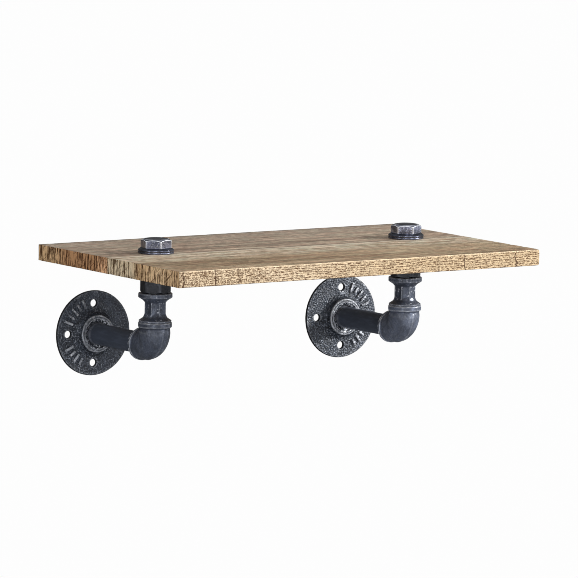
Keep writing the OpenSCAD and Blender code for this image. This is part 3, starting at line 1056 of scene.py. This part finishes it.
def studio():
    """Pale floor, well below the shelf as below any wall shelf, pale background and soft light.

    The camera sees both brightly, as overexposed studio white; the shelf is lit by them more dimly."""
    data = bpy.data.meshes.new("floor")
    square = ((-1, -1), (1, -1), (1, 1), (-1, 1))
    corners = [(x * FLOOR_REACH, y * FLOOR_REACH, FLOOR_HEIGHT) for x, y in square]
    data.from_pydata(corners, [], [(0, 1, 2, 3)])
    floor = add_object("floor", data)
    shader = Shader("pale_floor")
    shader.set(Base_Color=(0.5, 0.5, 0.51, 1.0), Roughness=0.9)
    seen = shader.add("LightPath").outputs["Is Camera Ray"]
    white = shader.add("Emission", {"Color": STUDIO_WHITE, "Strength": 1.0}).outputs[0]
    lit = shader.add("MixShader", {0: seen, 1: shader.surface.outputs[0], 2: white}).outputs[0]
    behind = shader.add("NewGeometry").outputs["Backfacing"]
    behind = shader.math("MAXIMUM", behind, shader.add("LightPath").outputs["Is Glossy Ray"])
    clear = shader.add("BsdfTransparent").outputs[0]
    shader.show(shader.add("MixShader", {0: behind, 1: lit, 2: clear}).outputs[0])
    data.materials.append(shader.material)

    # Soft boxes overhead and in front, a little light from the right, and a darker room behind
    world = bpy.data.worlds.new("studio")
    sky = Nodes(world, "World")
    toward = sky.add("TexCoord").outputs["Generated"]
    up = sky.between(sky.split(toward)[2], 0.25, 0.90)
    ahead = sky.add("VectorMath", {0: toward, 1: SOFT_BOX_AHEAD}, operation="DOT_PRODUCT").outputs["Value"]
    right = sky.split(toward)[0]
    strength = sky.total((1.0, AMBIENT), (OVERHEAD, up), (AHEAD, sky.between(ahead, 0.0, 0.95)),
                         (FROM_RIGHT, sky.between(right, 0.1, 0.9)))
    # Polished metal mirrors brighter panels and darker gaps between them than the diffuse light shows
    mirrored = sky.total((MIRRORED_ROOM, strength))
    for direction, spread_from, spread_to, glow in PANELS:
        to_panel = Vector(direction).normalized()
        facing = sky.add("VectorMath", {0: toward, 1: to_panel}, operation="DOT_PRODUCT")
        panel = sky.between(facing.outputs["Value"], math.cos(math.radians(spread_from)),
                            math.cos(math.radians(spread_to)))
        mirrored = sky.total((1.0, mirrored), (glow, panel))
    glossy = sky.add("LightPath").outputs["Is Glossy Ray"]
    strength = sky.add("Mix", {0: glossy, 2: strength, 3: mirrored}, data_type="FLOAT").outputs[0]
    dim = sky.add("Background", {"Color": (0.97, 0.98, 1.0, 1.0), "Strength": strength}).outputs[0]
    bright = sky.add("Background", {"Color": STUDIO_WHITE, "Strength": 1.0}).outputs[0]
    seen = sky.add("LightPath").outputs["Is Camera Ray"]
    sky.show(sky.add("MixShader", {0: seen, 1: dim, 2: bright}).outputs[0])
    bpy.context.scene.world = world

    key_light()
    bpy.context.scene.view_settings.view_transform = "Standard"
    bpy.context.scene.cycles.filter_width = 0.9


# ---------------------------------------------------------------- build

BODY_OF = {node: body for body, nodes in frame["record"]["behaviour"]["bodies"].items() for node in nodes}

place_camera()
studio()

REAR_LOW, REAR_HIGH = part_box("rear_plank")
FRONT_LOW, FRONT_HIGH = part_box("front_plank")
SEAM = FRONT_HIGH.y
DEPTH = REAR_HIGH.y - FRONT_LOW.y

BROWN_END = srgb(160, 130, 96)
RED_END = srgb(138, 102, 71)
RUST_END = srgb(184, 142, 106)
PALE_END = srgb(180, 152, 118)
GREY_END = srgb(168, 150, 124)
LEFT = REAR_LOW.x
RIGHT = REAR_HIGH.x
TOP = REAR_HIGH.z
FINE_CAST = {
    "pebble": 760.0, "pebble_depth": 0.24 * MM, "grit": 0.18, "cloud": 0.5, "roughness": 0.32, "wear": 1.0,
}
MATERIALS = {
    "rear_face": face_grain("rear_face_grain", srgb(112, 97, 82), srgb(148, 131, 114), srgb(180, 162, 141),
                            srgb(152, 137, 122), SEAM + 0.10 * DEPTH, 0.0, SEAM),
    "rear_end": end_grain("rear_end_grain", [
        (SEAM, RUST_END), (SEAM + 0.045 * DEPTH, RUST_END), (SEAM + 0.09 * DEPTH, RED_END),
        (SEAM + 0.30 * DEPTH, RED_END), (SEAM + 0.38 * DEPTH, BROWN_END), (0.0, BROWN_END)], 0.0),
    "rear_edge": edge_grain("rear_edge_grain", srgb(196, 170, 138), srgb(170, 140, 106), srgb(110, 82, 56)),
    "front_face": face_grain("front_face_grain", srgb(112, 92, 70), srgb(149, 128, 103), srgb(178, 157, 130),
                             srgb(186, 174, 154), SEAM - 0.26 * DEPTH, SEAM - 0.08 * DEPTH, FRONT_LOW.y),
    "front_end": end_grain("front_end_grain", [
        (SEAM - 0.5 * DEPTH, BROWN_END), (SEAM - 0.36 * DEPTH, PALE_END), (SEAM - 0.21 * DEPTH, BROWN_END),
        (SEAM - 0.17 * DEPTH, GREY_END), (SEAM, GREY_END)], 0.4),
    "front_edge": edge_grain("front_edge_grain", srgb(230, 208, 176), srgb(200, 174, 141), srgb(100, 72, 49)),
    # Each cast metal's second colour is its worn metal, which is also the colour of its painted glints
    "flange": cast_metal(
        "flange_iron", srgb(60, 67, 79), srgb(226, 230, 238), pebble=700.0, pebble_depth=1.4 * MM,
        grit=0.85, cloud=0.3, roughness=0.36, wear=0.9),
    "fitting": cast_metal("fitting_iron", srgb(74, 80, 94), srgb(200, 205, 216), **FINE_CAST),
    "elbow": cast_metal("elbow_iron", srgb(74, 80, 94), srgb(238, 242, 248), right_sheen=1.6, **FINE_CAST),
    "bushing": cast_metal(
        "bushing_iron", srgb(38, 40, 47), srgb(150, 154, 164), pebble=620.0, pebble_depth=0.20 * MM,
        grit=0.2, cloud=0.4, roughness=0.36, wear=0.9),
    "pipe": coated_pipe("pipe_coat", srgb(60, 67, 80)),
    "plug": plated_steel("plug_plating", srgb(118, 122, 141), srgb(244, 247, 253)),
}

shank_spots = [centre("left_washer"), centre("right_washer")]
for part, seam_side, holes in (("rear", -1, shank_spots), ("front", 1, [])):
    grains = [MATERIALS[f"{part}_{area}"] for area in ("face", "end", "edge")]
    plank(f"{part}_plank", f"{part}_board", grains, seam_side, holes)
for bracket in SIDES:
    for build in (flange, nipple, elbow, adapter, bushing, washer, plug):
        build(bracket)
